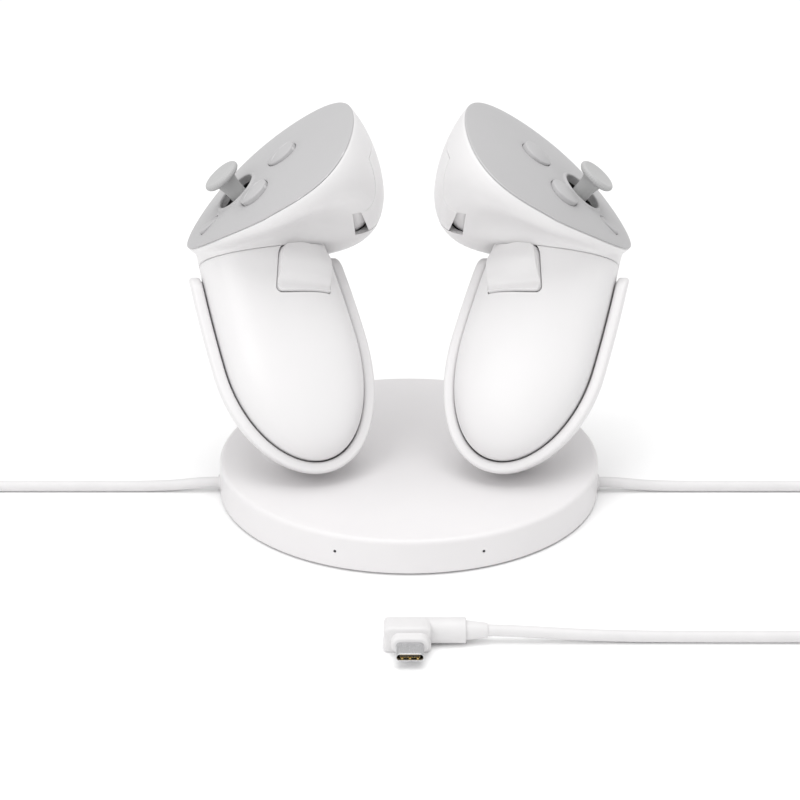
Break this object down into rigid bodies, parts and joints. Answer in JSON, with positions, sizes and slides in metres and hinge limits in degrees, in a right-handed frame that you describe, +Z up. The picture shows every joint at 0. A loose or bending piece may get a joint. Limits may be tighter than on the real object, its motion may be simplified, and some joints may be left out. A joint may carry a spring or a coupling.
{
  "type": "controller charging dock with a pair of hand controllers",
  "caption": "Round weighted charging dock with tilted open cradles, each holding a lift-off hand controller with a stick, buttons and triggers, with a power lead and a headset lead.",
  "frame": {"origin": "middle of the underside of the round base, on the surface that it stands on", "axes": "+Z up; +X to the right as the user sees it; +Y away from the user. The handles face the user, -Y."},
  "size_m": [0.4044, 0.1933, 0.1235],
  "materials": {
    "white_shell": "fine satin moulding",
    "dock_shell": "fine satin moulding",
    "face_grey": "satin with a soft gloss",
    "stick_grey": "soft-touch",
    "cord_white": "smooth cable jacket",
    "pad_rubber": "matt silicone",
    "steel": "plated",
    "gold_contact": "gold plated",
    "board_green": "solder-masked board",
    "dark_plastic": "moulded",
    "cell_sleeve": "shrink sleeve",
    "frame_plastic": "moulded"
  },
  "bodies": {
    "dock": {"base_shell": "dock_shell", "base_cover": "dock_shell", "foot_pad": "pad_rubber", "ballast_plate": "steel", "dock_board": "board_green", "status_lights": "dark_plastic", "cover_screws": "steel", "cradle_left": "white_shell", "cradle_right": "white_shell", "cradle_screws": "steel", "contact_blocks": "dark_plastic", "power_gland": "cord_white", "headset_gland": "cord_white", "power_cord": "cord_white", "power_coil": "cord_white", "power_tie": "cord_white", "power_plug_grip": "cord_white", "power_plug_shell": "steel", "headset_cord": "cord_white", "headset_coil": "cord_white", "headset_tie": "cord_white", "headset_plug_body": "cord_white", "headset_plug_shell": "steel", "headset_plug_tongue": "dark_plastic"},
    "controller_left": {"face_plate_left": "face_grey", "head_shell_left": "white_shell", "handle_front_left": "white_shell", "handle_back_left": "white_shell", "trigger_pins_left": "steel", "stick_housing_left": "dark_plastic", "controller_board_left": "board_green", "battery_left": "cell_sleeve", "inner_frame_left": "frame_plastic", "charge_contacts_left": "gold_contact", "haptic_motor_left": "steel"},
    "index_trigger_left": {"index_trigger_left": "white_shell"},
    "grip_trigger_left": {"grip_trigger_left": "white_shell"},
    "button_lower_left": {"button_lower_left": "face_grey"},
    "button_upper_left": {"button_upper_left": "face_grey"},
    "menu_button_left": {"menu_button_left": "face_grey"},
    "stick_ring_left": {"stick_ring_left": "dark_plastic"},
    "thumbstick_left": {"thumbstick_left": "stick_grey"},
    "controller_right": {"face_plate_right": "face_grey", "head_shell_right": "white_shell", "handle_front_right": "white_shell", "handle_back_right": "white_shell", "trigger_pins_right": "steel", "stick_housing_right": "dark_plastic", "controller_board_right": "board_green", "battery_right": "cell_sleeve", "inner_frame_right": "frame_plastic", "charge_contacts_right": "gold_contact", "haptic_motor_right": "steel"},
    "index_trigger_right": {"index_trigger_right": "white_shell"},
    "grip_trigger_right": {"grip_trigger_right": "white_shell"},
    "button_lower_right": {"button_lower_right": "face_grey"},
    "button_upper_right": {"button_upper_right": "face_grey"},
    "menu_button_right": {"menu_button_right": "face_grey"},
    "stick_ring_right": {"stick_ring_right": "dark_plastic"},
    "thumbstick_right": {"thumbstick_right": "stick_grey"}
  },
  "joints": [
    {"name": "lift_left", "type": "slide", "parent": "dock", "child": "controller_left", "axis": [-0.1024, -0.0479, 0.9936], "range_m": [0, 0.09]},
    {"name": "index_pull_left", "type": "hinge", "parent": "controller_left", "child": "index_trigger_left", "pos_m": [-0.01811, 0.01619, 0.11018], "axis": [-0.0399, 0.998, 0.0485], "range_deg": [0, 9], "stiffness_Nm_per_rad": 0.08, "springref_deg": -22.92},
    {"name": "grip_squeeze_left", "type": "hinge", "parent": "controller_left", "child": "grip_trigger_left", "pos_m": [-0.0361, 0.00817, 0.07831], "axis": [0.7943, 0.4553, -0.4021], "range_deg": [0, 12], "stiffness_Nm_per_rad": 0.05, "springref_deg": -22.92},
    {"name": "stick_nod_left", "type": "hinge", "parent": "controller_left", "child": "stick_ring_left", "pos_m": [-0.05047, 0.01395, 0.09267], "axis": [0.7716, 0, 0.6361], "range_deg": [-17, 17], "stiffness_Nm_per_rad": 0.03},
    {"name": "stick_sway_left", "type": "hinge", "parent": "stick_ring_left", "child": "thumbstick_left", "pos_m": [-0.05047, 0.01395, 0.09267], "axis": [-0.0399, 0.998, 0.0485], "range_deg": [-17, 17], "stiffness_Nm_per_rad": 0.03},
    {"name": "button_lower_press_left", "type": "slide", "parent": "controller_left", "child": "button_lower_left", "axis": [0.6348, 0.0628, -0.7701], "range_m": [0, 0.0007], "stiffness_N_per_m": 600, "springref_m": -0.002},
    {"name": "button_upper_press_left", "type": "slide", "parent": "controller_left", "child": "button_upper_left", "axis": [0.6348, 0.0628, -0.7701], "range_m": [0, 0.0007], "stiffness_N_per_m": 600, "springref_m": -0.002},
    {"name": "menu_button_press_left", "type": "slide", "parent": "controller_left", "child": "menu_button_left", "axis": [0.6348, 0.0628, -0.7701], "range_m": [0, 0.0005], "stiffness_N_per_m": 600, "springref_m": -0.002},
    {"name": "lift_right", "type": "slide", "parent": "dock", "child": "controller_right", "axis": [0.1024, -0.0479, 0.9936], "range_m": [0, 0.09]},
    {"name": "index_pull_right", "type": "hinge", "parent": "controller_right", "child": "index_trigger_right", "pos_m": [0.01811, 0.01619, 0.11018], "axis": [-0.0399, -0.998, -0.0485], "range_deg": [0, 9], "stiffness_Nm_per_rad": 0.08, "springref_deg": -22.92},
    {"name": "grip_squeeze_right", "type": "hinge", "parent": "controller_right", "child": "grip_trigger_right", "pos_m": [0.0361, 0.00817, 0.07831], "axis": [0.7943, -0.4553, 0.4021], "range_deg": [0, 12], "stiffness_Nm_per_rad": 0.05, "springref_deg": -22.92},
    {"name": "stick_nod_right", "type": "hinge", "parent": "controller_right", "child": "stick_ring_right", "pos_m": [0.05047, 0.01395, 0.09267], "axis": [0.7716, 0, -0.6361], "range_deg": [-17, 17], "stiffness_Nm_per_rad": 0.03},
    {"name": "stick_sway_right", "type": "hinge", "parent": "stick_ring_right", "child": "thumbstick_right", "pos_m": [0.05047, 0.01395, 0.09267], "axis": [-0.0399, -0.998, -0.0485], "range_deg": [-17, 17], "stiffness_Nm_per_rad": 0.03},
    {"name": "button_lower_press_right", "type": "slide", "parent": "controller_right", "child": "button_lower_right", "axis": [-0.6348, 0.0628, -0.7701], "range_m": [0, 0.0007], "stiffness_N_per_m": 600, "springref_m": -0.002},
    {"name": "button_upper_press_right", "type": "slide", "parent": "controller_right", "child": "button_upper_right", "axis": [-0.6348, 0.0628, -0.7701], "range_m": [0, 0.0007], "stiffness_N_per_m": 600, "springref_m": -0.002},
    {"name": "menu_button_press_right", "type": "slide", "parent": "controller_right", "child": "menu_button_right", "axis": [-0.6348, 0.0628, -0.7701], "range_m": [0, 0.0005], "stiffness_N_per_m": 600, "springref_m": -0.002}
  ]
}
